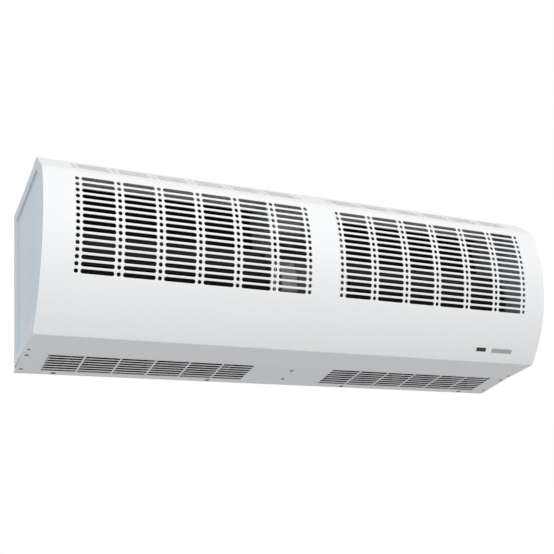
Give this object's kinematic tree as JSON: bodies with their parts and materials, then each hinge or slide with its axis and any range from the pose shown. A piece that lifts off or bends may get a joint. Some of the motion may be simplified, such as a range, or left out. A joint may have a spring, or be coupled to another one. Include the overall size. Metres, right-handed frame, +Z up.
{
  "type": "air curtain",
  "caption": "Wall-hung air curtain for a doorway: bowed perforated intake cover, twin bladed fan wheels on one double-ended motor, slotted outlets blowing down along the wall.",
  "frame": {"origin": "middle of the upper wall rail's face that lies against the wall", "axes": "+X along the casing, to the right for someone facing the intake cover; +Y into the wall; +Z up"},
  "size_m": [0.8, 0.2159, 0.2419],
  "materials": {
    "white_paint": "smooth white powder coat, low sheen",
    "side_paint": "pale blue-grey powder coat, satin",
    "grey_paint": "light grey powder coat, satin",
    "zinc_sheet": "galvanised sheet, dull with faint spangle",
    "wheel_black": "black-coated blades and discs, matt",
    "shaft_steel": "ground steel",
    "motor_cast": "die-cast, matt",
    "laminations": "stacked steel laminations, varnished",
    "rubber": "matt black moulded rubber",
    "bearing_plastic": "filled black nylon",
    "circuit_board": "green solder-masked board",
    "capacitor_case": "off-white moulded case",
    "terminal_plastic": "ivory moulded plastic",
    "window_tint": "near-black tinted, glossy"
  },
  "bodies": {
    "casing": {"back_panel": "zinc_sheet", "cable_grommet": "rubber", "control_board": "circuit_board", "display_board": "circuit_board", "display_window": "window_tint", "front_cover": "white_paint", "left_bearing": "bearing_plastic", "left_duct_stay_1": "zinc_sheet", "left_duct_stay_2": "zinc_sheet", "left_duct_stay_3": "zinc_sheet", "left_end_panel": "side_paint", "left_hanger": "zinc_sheet", "left_inner_fan_plate": "zinc_sheet", "left_outer_fan_plate": "zinc_sheet", "left_scroll": "zinc_sheet", "left_tongue": "zinc_sheet", "lower_wall_rail": "zinc_sheet", "motor_bracket": "zinc_sheet", "motor_left_bell": "motor_cast", "motor_left_ring": "rubber", "motor_right_bell": "motor_cast", "motor_right_ring": "rubber", "motor_stator": "laminations", "outlet_panel": "grey_paint", "right_bearing": "bearing_plastic", "right_duct_stay_1": "zinc_sheet", "right_duct_stay_2": "zinc_sheet", "right_duct_stay_3": "zinc_sheet", "right_end_panel": "side_paint", "right_hanger": "zinc_sheet", "right_inner_fan_plate": "zinc_sheet", "right_outer_fan_plate": "zinc_sheet", "right_scroll": "zinc_sheet", "right_tongue": "zinc_sheet", "run_capacitor": "capacitor_case", "terminal_block": "terminal_plastic", "top_panel": "white_paint", "upper_wall_rail": "zinc_sheet"},
    "rotor": {"motor_shaft": "shaft_steel", "motor_rotor_core": "laminations", "left_fan_wheel": "wheel_black", "right_fan_wheel": "wheel_black", "left_end_shaft": "shaft_steel", "right_end_shaft": "shaft_steel"}
  },
  "joints": [
    {"name": "fan_spin", "type": "hinge", "parent": "casing", "child": "rotor", "pos_m": [0, -0.115, -0.07975], "axis": [1, 0, 0], "continuous": true}
  ]
}
